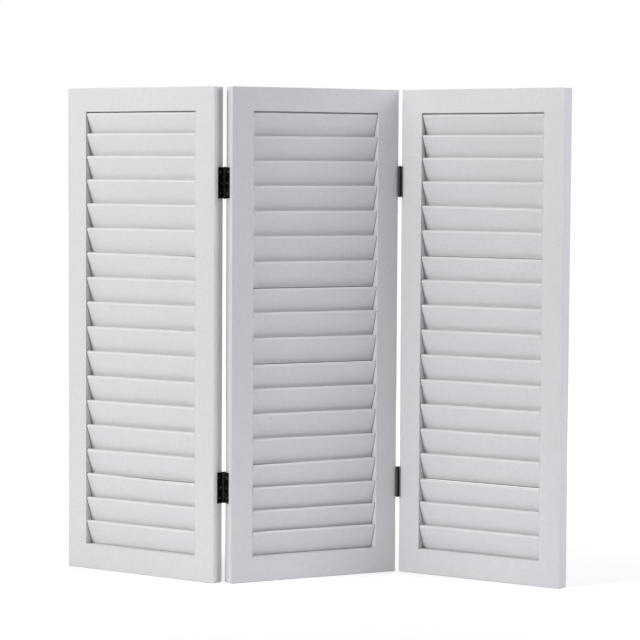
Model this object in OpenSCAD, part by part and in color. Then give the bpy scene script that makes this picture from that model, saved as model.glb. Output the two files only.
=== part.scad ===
// Folding screen: three louvred panels, joined in a zigzag by four butt hinges.
// Lengths are in millimetres and angles in degrees. +Z is up, and -Y faces the viewer.
// The origin is the middle of the centre panel's underside.

/* [Panels] */
// Height of each panel
panel_h = 1016; // [900:1:1180]
// Width of each panel
panel_w = 381; // [280:1:520]
// Thickness of the stiles and rails
frame_t = 29.5; // [28:0.5:40]
// Width of a stile, seen from the front
stile_w = 48.5; // [42:0.5:70]
// Height of the top rail, seen from the front
top_rail_h = 49.5; // [44:0.5:70]
// Height of the bottom rail, seen from the front
bottom_rail_h = 52.5; // [48:0.5:75]
// Radius that eases the long edges of the frame
edge_r = 1.5; // [0.5:0.1:3]
// Radius of a panel's four corners, seen from the front
corner_r = 3; // [1:0.5:8]

/* [Louvres] */
// Number of louvres in each panel
louvre_count = 18; // [16:2:18]
// Width of a louvre across its slope
louvre_w = 59.5; // [56:0.5:63]
// Thickness of a louvre, and the width of its round edges
louvre_t = 7.5; // [5:0.5:9]
// Slope of a louvre from upright, its top edge leaning to the front
louvre_tilt = 20; // [16:1:22]
// Depth of the slanted housings in the stiles that hold a louvre's ends
housing_depth = 7; // [4:0.5:10]
// Clearance round a louvre in its housings
housing_fit = 0.3; // [0.1:0.05:0.4]
// Gap between the top rail and the first louvre
top_gap = 2; // [1:0.5:5]
// Height of the last louvre's top edge above the bottom rail
last_louvre_show = 50.5; // [48:0.5:53]
// How much closer a side panel's first two louvres stand than those at mid height
side_top_crowd = 9.5; // [0:0.5:10]
// The same for a side panel's last two louvres
side_bottom_crowd = 2.5; // [0:0.5:10]
// The same for the centre panel's first two louvres
centre_top_crowd = 4; // [0:0.5:10]
// The same for the centre panel's last two louvres
centre_bottom_crowd = 8; // [0:0.5:10]
// Share of that closeness that is left one louvre further on
crowd_fade = 0.57; // [0.4:0.01:0.7]
// How far a louvre's end that was set low stands below its place
low_set = 3; // [0:0.5:4]
// Gap between a rebated rail and the louvre that closes against it
rebate_gap = 1.5; // [1:0.1:3]
// Height of the light stop behind the first louvre
light_stop_h = 10; // [6:0.5:14]

/* [Dowels] */
// Diameter of the dowels that join the rails to the stiles
dowel_d = 8; // [6:0.5:10]
// Length of a dowel
dowel_l = 40; // [30:1:50]
// Distance of a dowel's axis from the rail's edge
dowel_inset = 11; // [9:0.5:13]
// Clearance round a dowel and past its ends
dowel_fit = 0.05; // [0.02:0.01:0.1]

/* [Fold] */
// Turn of the centre panel away from square to the viewer
centre_turn = 26; // [0:1:60]
// Fold between the left and centre panels, 0 when they lie in line
left_fold = 59; // [0:1:175]
// Fold between the centre and right panels, 0 when they lie in line
right_fold = 58.5; // [0:0.5:175]

/* [Hinges] */
// Length of a hinge
hinge_l = 63.5; // [50:0.5:90]
// Distance of the left seam's hinges, at their middles, from the panels' nearer end
left_hinge_inset = 195.5; // [120:0.5:300]
// Distance of the right seam's hinges, at their middles, from the panels' nearer end
right_hinge_inset = 191.5; // [120:0.5:300]
// Width of a leaf on the stile's edge
leaf_w = 18; // [15:0.5:22]
// Thickness of a leaf
leaf_t = 1.4; // [1:0.1:2]
// Gap between the two leaves when the panels lie in line
leaf_gap = 0.2; // [0.2:0.1:1]
// Diameter of the hinge pin
pin_d = 5; // [3.5:0.1:6]
// Clearance all round the pin in its knuckles
pin_fit = 0.06; // [0.02:0.01:0.1]
// Diameter of the pin's domed ends
pin_head_d = 6.6; // [6:0.1:7]
// Height of the pin's domed ends
pin_head_h = 1.4; // [0.8:0.1:2]
// Length of the two end knuckles
end_knuckle_l = 17.5; // [12:0.5:20]
// Gap between neighbouring knuckles
knuckle_gap = 0.25; // [0.2:0.05:0.6]
// Clearance between the barrel and the panels' faces
barrel_gap = 0.1; // [0.1:0.05:0.5]
// Clearance between a leaf's plate and the other leaf's knuckles
plate_gap = 0.5; // [0.3:0.1:1]

/* [Hinge screws] */
// Length of a screw
screw_l = 19; // [14:1:22]
// Diameter of a screw's shank
screw_d = 3.2; // [2.8:0.1:3.5]
// Diameter of a screw's countersunk head
screw_head_d = 6; // [5.4:0.1:6.6]
// Distance of the outer screws from the ends of the leaf
screw_end_inset = 10.5; // [8:0.5:14]
// Distance of the outer screws from the stile's face
outer_screw_in = 11.5; // [9:0.5:12.5]
// Distance of the middle screw from the stile's face
middle_screw_in = 7; // [6:0.5:9]
// Clearance round a screw in the leaf and in the wood
screw_fit = 0.05; // [0.02:0.01:0.1]

/* [Hidden] */
$fn = 48;
cut_over = 1;
paint = "WhiteSmoke";
bare_wood = "BurlyWood";
black_steel = [0.08, 0.08, 0.09];

// Opening of a panel, inside its frame
opening_w = panel_w - 2 * stile_w;
opening_top = panel_h - top_rail_h;

// Louvres: the span joins the centres of the round edges, and the rise is the upright height
louvre_span = louvre_w - louvre_t;
louvre_rise = louvre_span * cos(louvre_tilt) + louvre_t;
louvre_run = louvre_span * sin(louvre_tilt) + louvre_t;
louvre_l = opening_w + 2 * (housing_depth - housing_fit);
first_top = opening_top - top_gap;
last_top = bottom_rail_h + last_louvre_show;
last_tail = last_top - louvre_rise;

// Spacing: the louvres crowd together towards the top and the bottom of a panel.
// The crowding takes something from each step, and what is left is shared evenly.
steps = louvre_count - 1;
function top_crowd(panel) = panel == "centre" ? centre_top_crowd : side_top_crowd;
function bottom_crowd(panel) = panel == "centre" ? centre_bottom_crowd : side_bottom_crowd;
function crowding(panel, i) = top_crowd(panel) * pow(crowd_fade, i)
    + bottom_crowd(panel) * pow(crowd_fade, steps - 1 - i);
function crowding_above(panel, i) =
    i == 0 ? 0 : crowding_above(panel, i - 1) + crowding(panel, i - 1);
function even_step(panel) = (first_top - last_top + crowding_above(panel, steps)) / steps;
function true_top(panel, i) = first_top - i * even_step(panel) + crowding_above(panel, i);

// Louvres that were set low: the panel, the louvre's number from the top, and the low end
low_louvres = [
    ["left", 7, "right"], ["left", 16, "right"],
    ["centre", 8, "both"], ["centre", 11, "both"], ["centre", 15, "left"],
    ["right", 5, "right"], ["right", 7, "both"], ["right", 16, "both"]
];
function is_low(entry, panel, i, end) =
    entry[0] == panel && entry[1] == i + 1 && (entry[2] == end || entry[2] == "both");
function low_by(panel, i, end) =
    low_set * len([for (entry = low_louvres) if (is_low(entry, panel, i, end)) entry]);

// A louvre's turn, and the height of its top edge at a distance from the panel's left edge
function louvre_slope(panel, i) =
    (low_by(panel, i, "left") - low_by(panel, i, "right")) / opening_w;
function louvre_top(panel, i, x) =
    true_top(panel, i) - low_by(panel, i, "left") + (x - stile_w) * louvre_slope(panel, i);

// Depth of a louvre's front and back surfaces at a height below its top edge
nose_y = (frame_t - louvre_run + louvre_t) / 2;
function louvre_mid_y(drop) = nose_y + (drop - louvre_t / 2) * tan(louvre_tilt);
louvre_half_y = louvre_t / 2 / cos(louvre_tilt);
function louvre_front_y(drop) = louvre_mid_y(drop) - louvre_half_y;
function louvre_back_y(drop) = louvre_mid_y(drop) + louvre_half_y;

// Rebates: the top rail's is at the front, and the bottom rail's at the back
top_rebate_d = louvre_back_y(light_stop_h - top_gap) + rebate_gap;
bottom_rebate_y = louvre_front_y(last_louvre_show) - rebate_gap;
bottom_rebate_z = last_tail - rebate_gap;

// Dowels: two in each end of each rail
bottom_dowels = [dowel_inset, bottom_rebate_z - dowel_inset];
top_dowels = [opening_top + dowel_inset, panel_h - dowel_inset];
dowel_chamfer = dowel_d / 8;

// Hinges: the pin stands clear of the faces, halfway between the two edges
barrel_d = pin_d + 2 * leaf_t;
pin_out = barrel_d / 2 + barrel_gap;
pin_side = leaf_gap / 2 + leaf_t;
leaf_relief = barrel_d / 2 + plate_gap;
hinge_levels = ["lower", "upper"];
function hinge_inset(seam) = seam == "left" ? left_hinge_inset : right_hinge_inset;
function hinge_z(seam, level) =
    (level == "lower" ? hinge_inset(seam) : panel_h - hinge_inset(seam)) - hinge_l / 2;
end_knuckles = [[0, end_knuckle_l], [hinge_l - end_knuckle_l, hinge_l]];
middle_knuckle = [[end_knuckle_l + knuckle_gap, hinge_l - end_knuckle_l - knuckle_gap]];
screw_places = [
    [outer_screw_in, screw_end_inset],
    [middle_screw_in, hinge_l / 2],
    [outer_screw_in, hinge_l - screw_end_inset]
];

// Names of the pieces
panels = ["left", "centre", "right"];
seams = ["left", "right"];
function piece(panel, part) = str(panel, "_panel_", part);
function two_digits(n) = n < 10 ? str("0", n) : str(n);
function pair_name(panel, pair) =
    piece(panel, str("louvres_", two_digits(2 * pair + 1), "_", two_digits(2 * pair + 2)));
function hinge_name(seam, level, part) = str(seam, "_", level, "_hinge_", part);
function screws_name(seam, owner) = str(seam, "_hinge_screws_", owner, "_panel");
louvre_pairs = [0 : louvre_count / 2 - 1];

// Places of the panels

// The centre panel is turned on the origin.
module in_centre_panel() {
    rotate(centre_turn) translate([-panel_w / 2, -frame_t / 2, 0]) children();
}

// A panel's own frame has its lower front left corner at the origin.
module in_panel(panel) {
    if (panel == "centre") in_centre_panel() children();
    if (panel == "left")
        in_centre_panel() translate([-pin_side, frame_t + pin_out, 0]) rotate(-left_fold)
            translate([-panel_w - pin_side, -frame_t - pin_out, 0]) children();
    if (panel == "right")
        in_centre_panel() translate([panel_w + pin_side, -pin_out, 0]) rotate(-right_fold)
            translate([pin_side, pin_out, 0]) children();
}

module mirrored_if(flag) {
    if (flag) mirror([1, 0, 0]) children();
    else children();
}

// A hinge's frame has the pin's axis on Z, a leaf on +X and the stile's edge on -Y.
// It is placed in the frame of the panel that owns the leaf.
module on_hinge(seam, owner, level) {
    at_left_edge = (seam == "left") == (owner == "centre");
    pin_x = at_left_edge ? -pin_side : panel_w + pin_side;
    pin_y = seam == "left" ? frame_t + pin_out : -pin_out;
    translate([pin_x, pin_y, hinge_z(seam, level)]) rotate(seam == "left" ? 0 : 180)
        mirrored_if(owner != "centre") children();
}

// Outlines and the directions in which they are extruded

module rounded_rect(size, r) {
    translate([r, 0]) square([size[0] - 2 * r, size[1]]);
    translate([0, r]) square([size[0], size[1] - 2 * r]);
    for (x = [r, size[0] - r], y = [r, size[1] - r]) translate([x, y]) circle(r);
}

// Extrudes an outline in Y and Z along X.
module along_x(length) {
    rotate([90, 0, 90]) linear_extrude(length) children();
}

// Extrudes an outline in X and Z along Y.
module along_y(length) {
    translate([0, length, 0]) rotate([90, 0, 0]) linear_extrude(length) children();
}

// A louvre's outline in Y and Z: a slanted bar with full round edges
module louvre_outline(grow) {
    rotate(louvre_tilt) {
        square([louvre_t + 2 * grow, louvre_span], center = true);
        for (end = [-1, 1]) translate([0, end * louvre_span / 2]) circle(d = louvre_t + 2 * grow);
    }
}

// Stiles

// The inner edges are eased only beside the opening, so the rails meet a square edge.
module stile_blank() {
    intersection() {
        union() {
            linear_extrude(panel_h) rounded_rect([stile_w, frame_t], edge_r);
            translate([stile_w / 2, 0, 0]) cube([stile_w / 2, frame_t, bottom_rail_h]);
            translate([stile_w / 2, 0, opening_top]) cube([stile_w / 2, frame_t, top_rail_h]);
        }
        along_x(stile_w) rounded_rect([frame_t, panel_h], edge_r);
        along_y(frame_t) union() {
            rounded_rect([stile_w, panel_h], corner_r);
            translate([stile_w / 2, 0]) square([stile_w / 2, panel_h]);
        }
    }
}

// Stopped housings for the louvres' ends, slanted as the louvres are.
// Their heights are the louvres' own at the distance x from the panel's left edge.
module louvre_housings(panel, x) {
    for (i = [0 : steps])
        translate([stile_w - housing_depth, frame_t / 2, louvre_top(panel, i, x) - louvre_rise / 2])
            along_x(housing_depth + cut_over) louvre_outline(housing_fit);
}

// Bores a blind hole along X at each dowel, centred where the stile and rail meet.
module dowel_holes(heights) {
    for (z = heights)
        translate([-dowel_l / 2 - dowel_fit, frame_t / 2, z]) rotate([0, 90, 0])
            cylinder(d = dowel_d + 2 * dowel_fit, h = dowel_l + 2 * dowel_fit);
}

module plain_stile(panel, housing_x) {
    difference() {
        stile_blank();
        louvre_housings(panel, housing_x);
        translate([stile_w, 0, 0]) dowel_holes(concat(bottom_dowels, top_dowels));
    }
}

// Pilot holes for the screws of the hinges on one seam
module pilot_holes(seam, owner) {
    for (level = hinge_levels, at = screw_places)
        on_hinge(seam, owner, level) on_screw(at)
            cylinder(d = screw_d + 2 * screw_fit, h = screw_l + 2 * screw_fit);
}

module left_stile(panel) {
    color(paint) in_panel(panel) difference() {
        plain_stile(panel, stile_w - housing_depth / 2);
        if (panel == "centre") pilot_holes("left", "centre");
        if (panel == "right") pilot_holes("right", "right");
    }
}

module right_stile(panel) {
    color(paint) in_panel(panel) difference() {
        translate([panel_w, 0, 0]) mirror([1, 0, 0])
            plain_stile(panel, panel_w - stile_w + housing_depth / 2);
        if (panel == "centre") pilot_holes("right", "centre");
        if (panel == "left") pilot_holes("left", "left");
    }
}

// Rails

// The top rail's lower front edge is rebated, which leaves a light stop behind the louvre.
module top_rail(panel) {
    color(paint) in_panel(panel) difference() {
        translate([stile_w, 0, opening_top]) along_x(opening_w) {
            rounded_rect([frame_t, top_rail_h], edge_r);
            translate([top_rebate_d, -light_stop_h])
                rounded_rect([frame_t - top_rebate_d, top_rail_h + light_stop_h], edge_r);
        }
        rail_dowel_holes(top_dowels);
    }
}

// The bottom rail's upper back edge is rebated, and the last louvre hangs down into it.
module bottom_rail(panel) {
    color(paint) in_panel(panel) difference() {
        translate([stile_w, 0, 0]) along_x(opening_w) {
            rounded_rect([frame_t, bottom_rebate_z], edge_r);
            rounded_rect([bottom_rebate_y, bottom_rail_h], edge_r);
        }
        rail_dowel_holes(bottom_dowels);
    }
}

module rail_dowel_holes(heights) {
    for (x = [stile_w, panel_w - stile_w]) translate([x, 0, 0]) dowel_holes(heights);
}

// Dowels with chamfered ends, hidden in the joints
module dowel() {
    end_r = dowel_d / 2 - dowel_chamfer;
    rotate_extrude() polygon([
        [0, 0], [end_r, 0], [dowel_d / 2, dowel_chamfer],
        [dowel_d / 2, dowel_l - dowel_chamfer], [end_r, dowel_l], [0, dowel_l]
    ]);
}

module dowels(panel) {
    color(bare_wood) in_panel(panel)
        for (x = [stile_w, panel_w - stile_w], z = concat(bottom_dowels, top_dowels))
            translate([x - dowel_l / 2, frame_t / 2, z]) rotate([0, 90, 0]) dowel();
}

// Louvres, two to a node. A crooked louvre's ends are still cut upright.
module louvre(panel, i) {
    middle_z = louvre_top(panel, i, panel_w / 2) - louvre_rise / 2;
    intersection() {
        translate([panel_w / 2, frame_t / 2, middle_z]) rotate([0, -atan(louvre_slope(panel, i)), 0])
            translate([-louvre_l / 2 - louvre_t, 0, 0])
                along_x(louvre_l + 2 * louvre_t) louvre_outline(0);
        translate([(panel_w - louvre_l) / 2, 0, 0]) cube([louvre_l, frame_t, panel_h]);
    }
}

module louvre_pair(panel, pair) {
    color(paint) in_panel(panel)
        for (i = [2 * pair, 2 * pair + 1]) louvre(panel, i);
}

// Hinges

// Puts a child on a screw's axis: +Z runs from the leaf's open face into the wood.
module on_screw(at) {
    translate([leaf_gap / 2, -pin_out - at[0], at[1]]) rotate([0, 90, 0]) children();
}

// A leaf with its knuckles. Beside the other leaf's knuckles its plate stops short of them.
module hinge_leaf(knuckles) {
    difference() {
        union() {
            translate([leaf_gap / 2, -pin_out - leaf_w, 0])
                cube([leaf_t, leaf_w + pin_out - leaf_relief, hinge_l]);
            for (k = knuckles) translate([0, 0, k[0]]) {
                translate([leaf_gap / 2, -pin_out - leaf_w, 0])
                    cube([leaf_t, leaf_w + pin_out, k[1] - k[0]]);
                cylinder(d = barrel_d, h = k[1] - k[0]);
            }
        }
        translate([0, 0, -cut_over])
            cylinder(d = pin_d + 2 * pin_fit, h = hinge_l + 2 * cut_over);
        for (at = screw_places) on_screw(at)
            cylinder(
                d1 = screw_head_d + 2 * screw_fit,
                d2 = screw_d + 2 * screw_fit,
                h = leaf_t
            );
    }
}

// The centre panel carries the leaf with the two end knuckles, and the pin in them.
module centre_leaf(seam, level) {
    color(black_steel) in_panel("centre") on_hinge(seam, "centre", level) hinge_leaf(end_knuckles);
}

module side_leaf(seam, level) {
    color(black_steel) in_panel(seam) on_hinge(seam, seam, level) hinge_leaf(middle_knuckle);
}

// The pin's domed end, as half an outline to spin
module pin_head_outline() {
    dome_r = (pow(pin_head_d / 2, 2) + pow(pin_head_h, 2)) / (2 * pin_head_h);
    intersection() {
        translate([0, pin_head_h - dome_r]) circle(dome_r);
        square([pin_head_d / 2, pin_head_h]);
    }
}

module hinge_pin(seam, level) {
    color(black_steel) in_panel("centre") on_hinge(seam, "centre", level) rotate_extrude() {
        square([pin_d / 2, hinge_l]);
        translate([0, hinge_l]) pin_head_outline();
        mirror([0, 1]) pin_head_outline();
    }
}

// A countersunk screw with a cross recess, its head flush with the leaf
module screw() {
    tip_l = screw_d;
    recess_w = screw_head_d / 8;
    recess_l = screw_head_d * 0.6;
    recess_d = leaf_t * 0.6;
    difference() {
        rotate_extrude() polygon([
            [0, 0], [screw_head_d / 2, 0], [screw_d / 2, leaf_t],
            [screw_d / 2, screw_l - tip_l], [0, screw_l]
        ]);
        for (turn = [0, 90]) rotate(turn)
            translate([-recess_l / 2, -recess_w / 2, -cut_over])
                cube([recess_l, recess_w, recess_d + cut_over]);
    }
}

module hinge_screws(seam, owner) {
    color(black_steel) in_panel(owner)
        for (level = hinge_levels, at = screw_places)
            on_hinge(seam, owner, level) on_screw(at) screw();
}

for (p = panels) {
    left_stile(p);
    right_stile(p);
    top_rail(p);
    bottom_rail(p);
    dowels(p);
}
for (p = panels, pair = louvre_pairs) {
    louvre_pair(p, pair);
}
for (s = seams, level = hinge_levels) {
    centre_leaf(s, level);
    side_leaf(s, level);
    hinge_pin(s, level);
}
for (s = seams, owner = ["centre", s]) {
    hinge_screws(s, owner);
}
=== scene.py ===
import math

import bpy
from mathutils import Euler, Matrix, Vector

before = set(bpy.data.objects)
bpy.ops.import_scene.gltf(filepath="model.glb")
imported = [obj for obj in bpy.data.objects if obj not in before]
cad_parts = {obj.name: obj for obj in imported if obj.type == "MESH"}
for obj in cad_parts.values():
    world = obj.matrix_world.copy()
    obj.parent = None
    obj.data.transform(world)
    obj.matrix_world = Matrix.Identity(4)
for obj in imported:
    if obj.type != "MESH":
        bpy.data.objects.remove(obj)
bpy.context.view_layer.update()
print("frame loaded:", len(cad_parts), "nodes")

# Each panel's turn about the upright axis, in degrees
panelTurn = {"left": -33.0, "centre": 26.0, "right": -32.5}


# Shader nodes; a world goes in place of a material in the functions that add nodes

def newMaterial(name):
    material = bpy.data.materials.new(name)
    material.use_nodes = True
    return material, material.node_tree.nodes["Principled BSDF"]


def addNode(material, kind, label, values=None, **settings):
    # values go to the input sockets by name or by place, settings to the node itself
    node = material.node_tree.nodes.new(kind)
    node.label = label
    for key, value in settings.items():
        setattr(node, key, value)
    for socket, value in (values or {}).items():
        node.inputs[socket].default_value = value
    return node


def join(material, output, socket):
    material.node_tree.links.new(output, socket)


def panelPlace(material, turn, squeeze):
    # object coordinates turned to a panel's own axes, and the same squeezed along the grain
    place = addNode(material, "ShaderNodeTexCoord", "place")
    turned = addNode(material, "ShaderNodeMapping", "panel axes",
                     {"Rotation": (0, 0, math.radians(-turn))})
    grain = addNode(material, "ShaderNodeMapping", "along the grain", {"Scale": squeeze})
    join(material, place.outputs["Object"], turned.inputs["Vector"])
    join(material, turned.outputs["Vector"], grain.inputs["Vector"])
    return turned.outputs["Vector"], grain.outputs["Vector"]


def noise(material, vector, label, scale, detail, rough=0.5):
    node = addNode(material, "ShaderNodeTexNoise", label,
                   {"Scale": scale, "Detail": detail, "Roughness": rough})
    join(material, vector, node.inputs["Vector"])
    return node.outputs["Fac"]


def spread(material, value, label, low, high, between=(0.3, 0.7)):
    # goes from low to high while the value goes between the two given; a noise keeps
    # mostly between 0.3 and 0.7
    node = addNode(material, "ShaderNodeMapRange", label,
                   {"From Min": between[0], "From Max": between[1],
                    "To Min": low, "To Max": high})
    join(material, value, node.inputs["Value"])
    return node.outputs["Result"]


def mixColours(material, label, first, second, **settings):
    # first and second are colours, or outputs of other nodes
    node = addNode(material, "ShaderNodeMix", label, data_type="RGBA", **settings)
    colourInputs = node.inputs[6:8]  # others of the same names come before them
    for socket, colour in zip(colourInputs, (first, second)):
        if isinstance(colour, tuple):
            socket.default_value = (*colour, 1)
        else:
            join(material, colour, socket)
    return node.inputs["Factor"], node.outputs[2]


def blendColours(material, amount, label, first, second):
    factor, colour = mixColours(material, label, first, second)
    join(material, amount, factor)
    return colour


def multiply(material, first, second, label):
    node = addNode(material, "ShaderNodeMath", label, operation="MULTIPLY")
    join(material, first, node.inputs[0])
    join(material, second, node.inputs[1])
    return node.outputs[0]


def facingSide(material, side, label):
    # 1 on surfaces that face the side, 0 on those across it, -1 on those that face away
    facing = addNode(material, "ShaderNodeVectorMath", label, {1: side},
                     operation="DOT_PRODUCT")
    normal = addNode(material, "ShaderNodeTexCoord", "normal")
    join(material, normal.outputs["Normal"], facing.inputs[0])
    return facing.outputs["Value"]


def wornEdges(material, reach, label):
    # 1 along sharp edges, where a rounded edge would face another way, 0 on open ground
    rounded = addNode(material, "ShaderNodeBevel", "rounded", {"Radius": reach}, samples=4)
    actual = addNode(material, "ShaderNodeTexCoord", "normal")
    likeness = addNode(material, "ShaderNodeVectorMath", "likeness", operation="DOT_PRODUCT")
    join(material, rounded.outputs["Normal"], likeness.inputs[0])
    join(material, actual.outputs["Normal"], likeness.inputs[1])
    return spread(material, likeness.outputs["Value"], label, 1, 0, (0.9, 0.995))


def bump(material, height, label, depth, under=None):
    node = addNode(material, "ShaderNodeBump", label, {"Distance": depth, "Strength": 0.5})
    join(material, height, node.inputs["Height"])
    if under:
        join(material, under, node.inputs["Normal"])
    return node.outputs["Normal"]


# Finishes; lengths are in metres, and a scale is roughly the patches to a metre

whitePaint = {
    "colour": (0.804, 0.789, 0.806),
    "coolColour": (0.790, 0.789, 0.809),
    "thinColour": (0.754, 0.742, 0.759),
    "hueScale": 4.0,  # the warm and cool patches
    "cloudScale": 7.0,
    "clouds": 0.5,  # how much the clouds take of the thin colour
    "mottleScale": 160.0,
    "mottle": 0.8,  # and how much the fine mottle takes
    "mottleBetween": (0.4, 0.65),
    "frameTone": 0.965,  # the frame's paint beside the louvres'
    "edgeWear": 0.5,
    "edgeReach": 0.0015,
    "brushScale": 420.0,
    "grainScale": 90.0,
    "alongGrain": 0.03,  # squeeze of the brush strokes and the grain
    "smooth": 0.34,
    "dull": 0.46,
    "brushDepth": 0.00004,
    "grainDepth": 0.00006,
}

specks = {
    "colour": (0.30, 0.28, 0.29),
    "scale": 90.0,  # cells to a metre, each with room for one speck
    "share": 0.02,  # of the cells that have one
    "radius": (0.05, 0.08),  # in cells: full up to the first, faded out at the second
}

# painted shade: darker paint where ambient occlusion finds a corner, and along the louvre ends
# at the stiles
seams = {
    "colour": (0.28, 0.27, 0.30),
    "reach": 0.005,  # how far the painted shade spreads from a corner
    "openness": (0.1, 0.45),  # of the corner, where the painted shade is full and where there is none
    "endReach": 0.0025,  # how far it spreads along a louvre from the stile
    "endShade": 0.95,
    "edgeClear": 0.003,  # no painted shade this near to a panel's outer edge
    "edgeFull": 0.006,  # and all of it from here inwards
}

# A face's slope is 1 where it faces up, 0 where it is upright and -1 where it faces down
# painted light by slope: faces that look up or sideways are painted lighter as a highlight,
# faces that look down are painted dark as shade
louvreEdges = {
    "noseHighlight": (0.822, 0.810, 0.822),  # painted highlight, lighter on the upper edges and the backs
    "noseSlope": (-0.3, -0.1),
    "under": (0.085, 0.08, 0.09),  # painted shade, near-black on the lower edges, which face down
    "underSlope": (-0.58, -0.4),
}


def reachAlong(panel, turn, *pieces):
    # how far a panel's pieces reach, both ways along the panel
    direction = Vector((math.cos(math.radians(turn)), math.sin(math.radians(turn)), 0))
    places = [vertex.co.dot(direction) for piece in pieces
              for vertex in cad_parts[panel + "_panel_" + piece].data.vertices]
    return min(places), max(places)


def placeAlong(material, flat):
    parts = addNode(material, "ShaderNodeSeparateXYZ", "along the panel")
    join(material, flat, parts.inputs[0])
    return parts.outputs["X"]


def addSpecks(material, flat, colour):
    # small dark specks in the paint, a few to a panel
    cells = addNode(material, "ShaderNodeTexVoronoi", "specks", {"Scale": specks["scale"]})
    join(material, flat, cells.inputs["Vector"])
    near = spread(material, cells.outputs["Distance"], "speck size", 1, 0, specks["radius"])
    pick = addNode(material, "ShaderNodeSeparateColor", "one random number to a cell")
    join(material, cells.outputs["Color"], pick.inputs[0])
    share = specks["share"]
    chosen = spread(material, pick.outputs[0], "few of them", 1, 0, (share, share + 0.001))
    return blendColours(material, multiply(material, near, chosen, "chosen specks"),
                        "specked", colour, specks["colour"])


def makePaint(name, turn, upright, outer=None):
    # satin paint brushed along the wood: upright on stiles, level on rails and louvres;
    # painted shade darkens the corners, though not at a panel's outer edges, where they are
    # given
    material, shader = newMaterial(name)
    squeeze = whitePaint["alongGrain"]
    flat, grain = panelPlace(material, turn, (1, 1, squeeze) if upright else (squeeze, 1, 1))
    clouds = noise(material, flat, "clouds", whitePaint["cloudScale"], 3.0)
    hues = noise(material, flat, "warm and cool patches", whitePaint["hueScale"], 2.0)
    mottle = noise(material, flat, "mottle", whitePaint["mottleScale"], 3.0, 0.6)
    strokes = noise(material, grain, "brush strokes", whitePaint["brushScale"], 3.0, 0.6)
    telegraph = noise(material, grain, "grain under the paint",
                      whitePaint["grainScale"], 4.0, 0.55)
    coat = blendColours(material, spread(material, hues, "hue", 0, 1), "hues",
                        whitePaint["colour"], whitePaint["coolColour"])
    uneven = spread(material, clouds, "uneven coat", 0, whitePaint["clouds"])
    coat = blendColours(material, uneven, "coat", coat, whitePaint["thinColour"])
    mottled = spread(material, mottle, "mottled", 0, whitePaint["mottle"],
                     whitePaint["mottleBetween"])
    coat = blendColours(material, mottled, "mottled coat", coat, whitePaint["thinColour"])
    worn = multiply(material, wornEdges(material, whitePaint["edgeReach"], "edges"),
                    spread(material, telegraph, "broken up", 0, whitePaint["edgeWear"]), "wear")
    coat = blendColours(material, worn, "worn coat", coat, whitePaint["thinColour"])
    # painted shade: the coat darkens into corners and seams, where ambient occlusion finds them
    corner = addNode(material, "ShaderNodeAmbientOcclusion", "corners",
                     {"Distance": seams["reach"]}, samples=8)
    cornerShading = spread(material, corner.outputs["AO"], "painted shade in the seams", 1, 0,
                   seams["openness"])
    if outer:
        for edge, inwards in ((outer[0], 1), (outer[1], -1)):
            between = (edge + inwards * seams["edgeClear"], edge + inwards * seams["edgeFull"])
            clear = spread(material, placeAlong(material, flat), "clear of the outer edge",
                           0, 1, between)
            cornerShading = multiply(material, cornerShading, clear, "painted shade inside the frame")
    colour = blendColours(material, cornerShading, "seams", coat, seams["colour"])
    join(material, addSpecks(material, flat, colour), shader.inputs["Base Color"])
    join(material, spread(material, strokes, "sheen", whitePaint["smooth"], whitePaint["dull"]),
         shader.inputs["Roughness"])
    wood = bump(material, telegraph, "grain relief", whitePaint["grainDepth"])
    join(material, bump(material, strokes, "brush relief", whitePaint["brushDepth"], wood),
         shader.inputs["Normal"])
    return material, shader, flat


def makeFramePaint(name, turn, upright, outer=None):
    material, shader = makePaint(name, turn, upright, outer)[:2]
    before = shader.inputs["Base Color"].links[0].from_socket
    factor, toned = mixColours(material, "frame tone", before, (whitePaint["frameTone"],) * 3,
                               blend_type="MULTIPLY")
    factor.default_value = 1.0
    join(material, toned, shader.inputs["Base Color"])
    return material


def recolour(material, shader, amount, label, colour):
    # mixes one more colour into what the paint has already
    before = shader.inputs["Base Color"].links[0].from_socket
    join(material, blendColours(material, amount, label, before, colour),
         shader.inputs["Base Color"])


def makeLouvrePaint(name, turn, ends):
    material, shader, flat = makePaint(name, turn, False)
    slope = facingSide(material, (0, 0, 1), "slope")
    # painted highlight: lighter paint on faces that look up or sideways, such as the noses and
    # backs
    noseHighlight = spread(material, slope, "noses", 0, 1, louvreEdges["noseSlope"])
    recolour(material, shader, noseHighlight, "painted highlight", louvreEdges["noseHighlight"])
    # painted shade: near-black paint on the faces that look down
    under = spread(material, slope, "undersides", 1, 0, louvreEdges["underSlope"])
    recolour(material, shader, under, "painted shade on undersides", louvreEdges["under"])
    # painted shade: a dark line along each louvre end where it meets a stile
    for end, inwards in ((ends[0], 1), (ends[1], -1)):
        line = spread(material, placeAlong(material, flat), "painted shade line at the stile",
                      seams["endShade"], 0, (end, end + inwards * seams["endReach"]))
        recolour(material, shader, line, "painted shade at the stile", seams["colour"])
    return material


blackSteel = {
    "colour": (0.004, 0.004, 0.0045),
    "rubbed": (0.03, 0.03, 0.033),
    "rubbing": 0.6,  # how much the patches take of the rubbed colour
    "rubbingScale": 160.0,
    "rubbingBetween": (0.5, 0.75),
    "bare": (0.42, 0.42, 0.45),  # along the edges: where the coat has gone, and as painted glints at the knuckle joints
    "edgeReach": 0.001,
    "chipScale": 420.0,
    "chipBetween": (0.5, 0.6),
    "barrel": (0.15, 0.15, 0.175),  # painted highlight along the side of the barrels
    "highlightSide": -32.0,  # degrees from the front to the right, the side that carries the painted highlight
    "stripBetween": (0.90, 0.98),  # how squarely the highlight strip faces that side
    "highlightPatchScale": 330.0,
    "highlightPatchBetween": (0.4, 0.6),
    "leastHighlight": 0.15,
    "shine": 0.12,
    "smooth": 0.16,
    "dull": 0.3,
    "speckleScale": 1500.0,
    "speckleDepth": 0.00002,
}


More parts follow.
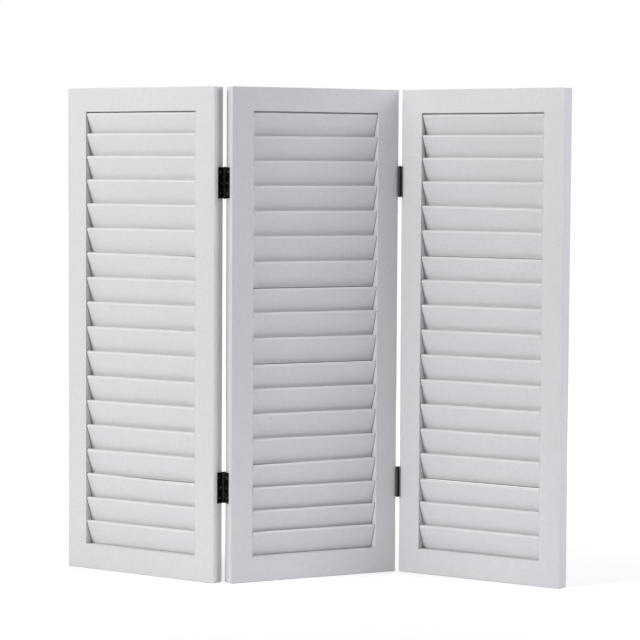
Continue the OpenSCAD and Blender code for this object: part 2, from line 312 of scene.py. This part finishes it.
def makeBlackSteel():
    material, shader = newMaterial("black_steel")
    place = addNode(material, "ShaderNodeTexCoord", "place").outputs["Object"]
    speckle = noise(material, place, "speckle", blackSteel["speckleScale"], 3.0)
    patches = noise(material, place, "rubbed patches", blackSteel["rubbingScale"], 3.0)
    highlightPatches = noise(material, place, "highlightPatches", blackSteel["highlightPatchScale"], 2.0)
    chips = noise(material, place, "chips", blackSteel["chipScale"], 2.0)
    rubbing = spread(material, patches, "rubbing", 0, blackSteel["rubbing"],
                     blackSteel["rubbingBetween"])
    colour = blendColours(material, rubbing, "coat", blackSteel["colour"], blackSteel["rubbed"])
    # painted highlight: a lighter strip on faces turned to the given side, such as the barrels'
    # fronts, broken into patches
    side = math.radians(blackSteel["highlightSide"])
    towards = facingSide(material, (math.sin(side), -math.cos(side), 0), "facing out")
    strip = multiply(material,
                     spread(material, towards, "strip", 0, 1, blackSteel["stripBetween"]),
                     spread(material, highlightPatches, "patchy highlight", blackSteel["leastHighlight"], 1,
                            blackSteel["highlightPatchBetween"]), "highlight strip")
    colour = blendColours(material, strip, "painted barrel highlight", colour, blackSteel["barrel"])
    # bare steel at the edges: worn coat, and painted glints at the knuckle joints
    bare = multiply(material, wornEdges(material, blackSteel["edgeReach"], "edges"),
                    spread(material, chips, "chipped", 0, 1, blackSteel["chipBetween"]),
                    "bare edges")
    join(material, blendColours(material, bare, "bare steel", colour, blackSteel["bare"]),
         shader.inputs["Base Color"])
    shader.inputs["Specular IOR Level"].default_value = blackSteel["shine"]
    join(material, spread(material, speckle, "sheen", blackSteel["smooth"], blackSteel["dull"]),
         shader.inputs["Roughness"])
    join(material, bump(material, speckle, "coat relief", blackSteel["speckleDepth"]),
         shader.inputs["Normal"])
    return material


bareBeech = {
    "colour": (0.58, 0.40, 0.23),
    "fleck": (0.40, 0.25, 0.13),
    "rayScale": 600.0,
    "alongGrain": 0.05,
    "roughness": 0.7,
    "poreDepth": 0.00005,
}


def makeBeech(name, turn):
    material, shader = newMaterial(name)
    grain = panelPlace(material, turn, (bareBeech["alongGrain"], 1, 1))[1]
    rays = noise(material, grain, "rays", bareBeech["rayScale"], 4.0, 0.6)
    colour = blendColours(material, spread(material, rays, "flecks", 0, 1), "wood",
                          bareBeech["colour"], bareBeech["fleck"])
    join(material, colour, shader.inputs["Base Color"])
    shader.inputs["Roughness"].default_value = bareBeech["roughness"]
    join(material, bump(material, rays, "pores", bareBeech["poreDepth"]),
         shader.inputs["Normal"])
    return material


steel = makeBlackSteel()
stilePaint = {}
railPaint = {}
louvrePaint = {}
beech = {}
for panel, turn in panelTurn.items():
    stilePaint[panel] = makeFramePaint(panel + "_stile_paint", turn, True,
                                       reachAlong(panel, turn, "left_stile", "right_stile"))
    railPaint[panel] = makeFramePaint(panel + "_rail_paint", turn, False)
    louvrePaint[panel] = makeLouvrePaint(panel + "_louvre_paint", turn,
                                         reachAlong(panel, turn, "top_rail"))
    beech[panel] = makeBeech(panel + "_beech", turn)


def finishFor(node):
    panel = node.split("_")[0]
    if "hinge" in node:
        return steel
    if node.endswith("dowels"):
        return beech[panel]
    if node.endswith("stile"):
        return stilePaint[panel]
    if node.endswith("rail"):
        return railPaint[panel]
    return louvrePaint[panel]


for name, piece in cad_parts.items():
    for slot in piece.material_slots:
        slot.material = finishFor(name)
print("finishes set")


# Studio

studio = {
    "floorSize": 80.0,
    "floorColour": (0.9, 0.9, 0.9),
    "nearGlow": 0.35,  # what the camera sees the floor add, near the screen and far off
    "farGlow": 1.0,
    "glowFrom": 0.7,  # metres from the screen's middle
    "glowTo": 3.0,
    "skyStrength": 0.0,  # the lamps give all the light
}


def seenDirectly(material):
    # 1 for rays that show the background: from the camera, in gloss or through glass
    paths = addNode(material, "ShaderNodeLightPath", "rays")
    seen = paths.outputs["Is Camera Ray"]
    for ray in ("Is Glossy Ray", "Is Transmission Ray"):
        either = addNode(material, "ShaderNodeMath", "either", operation="MAXIMUM")
        join(material, seen, either.inputs[0])
        join(material, paths.outputs[ray], either.inputs[1])
        seen = either.outputs[0]
    return seen


def makeFloor():
    bpy.ops.mesh.primitive_plane_add(size=studio["floorSize"], location=(0, 0, 0))
    floor = bpy.context.object
    floor.name = "studio_floor"
    material, shader = newMaterial("studio_floor")
    shader.inputs["Base Color"].default_value = (*studio["floorColour"], 1)
    shader.inputs["Roughness"].default_value = 1.0
    shader.inputs["Emission Color"].default_value = (1, 1, 1, 1)
    place = addNode(material, "ShaderNodeTexCoord", "place")
    distance = addNode(material, "ShaderNodeVectorMath", "distance", operation="LENGTH")
    join(material, place.outputs["Object"], distance.inputs[0])
    glow = spread(material, distance.outputs["Value"], "glow", studio["nearGlow"],
                  studio["farGlow"], (studio["glowFrom"], studio["glowTo"]))
    join(material, multiply(material, seenDirectly(material), glow, "shown glow"),
         shader.inputs["Emission Strength"])
    floor.data.materials.append(material)


def makeSky():
    sky = bpy.data.worlds.new("studio_sky")
    bpy.context.scene.world = sky
    sky.use_nodes = True
    background = sky.node_tree.nodes["Background"]
    background.inputs["Color"].default_value = (1, 1, 1, 1)
    join(sky, spread(sky, seenDirectly(sky), "level", studio["skyStrength"], 1.0, (0, 1)),
         background.inputs["Strength"])


# A lamp's azimuth is the side that it stands on: 0 at the camera, 90 to its right
lamps = {
    "key": {"azimuth": -55, "elevation": 18, "distance": 6.0, "size": (0.45, 1.2),
            "watts": 150},
    "left": {"azimuth": -75, "elevation": 35, "distance": 3.5, "size": (1.0, 1.2),
             "watts": 24},
    "top": {"azimuth": 0, "elevation": 85, "distance": 3.0, "size": (2.0, 2.0),
            "watts": 20, "tint": (1.0, 0.96, 1.06)},
    "right": {"azimuth": 69, "elevation": 20, "distance": 3.5, "size": (1.2, 1.0),
              "watts": 47, "tint": (1.0, 0.97, 1.05)},
    "base": {"azimuth": -10, "elevation": 3, "distance": 0.5, "size": (1.6, 0.04),
             "watts": 0.4, "aim": 0.03},
    "back": {"azimuth": 175, "elevation": 30, "distance": 3.2, "size": (2.0, 2.0),
             "watts": 50},
}
lampAim = 0.5  # height that a lamp points at, unless it has its own


def makeLamp(name, azimuth, elevation, distance, size, watts, tint=(1, 1, 1), aim=lampAim):
    light = bpy.data.lights.new(name, "AREA")
    light.shape = "RECTANGLE"
    light.size, light.size_y = size
    light.energy = watts
    light.color = tint
    lamp = bpy.data.objects.new(name, light)
    bpy.context.scene.collection.objects.link(lamp)
    turn = Euler((math.radians(90 - elevation), 0, math.radians(azimuth)))
    lamp.rotation_euler = turn
    lamp.location = Vector((0, 0, aim)) + turn.to_matrix() @ Vector((0, 0, distance))
    lamp.visible_camera = False


makeFloor()
makeSky()
for name, lamp in lamps.items():
    makeLamp(name + "_lamp", **lamp)
print("studio lit")


# Camera

camera = {
    "place": (0.015, -4.908, 0.85),
    "down": 3.65,  # degrees below level
    "roll": 0.34,
    "focalPixels": 2369,  # for an image 640 pixels wide
    "imagePixels": 640,
    "sensorWidth": 36.0,
    "nearest": 0.1,
    "farthest": 200.0,
}


def makeCamera():
    lens = bpy.data.cameras.new("camera")
    lens.sensor_width = camera["sensorWidth"]
    lens.lens = camera["focalPixels"] / camera["imagePixels"] * camera["sensorWidth"]
    lens.clip_start = camera["nearest"]
    lens.clip_end = camera["farthest"]
    holder = bpy.data.objects.new("camera", lens)
    bpy.context.scene.collection.objects.link(holder)
    tilt = Matrix.Rotation(math.radians(90 - camera["down"]), 4, "X")
    roll = Matrix.Rotation(math.radians(camera["roll"]), 4, "Z")
    holder.matrix_world = Matrix.Translation(camera["place"]) @ tilt @ roll
    bpy.context.scene.camera = holder


makeCamera()
bpy.context.scene.view_settings.view_transform = "Standard"
print("camera placed")
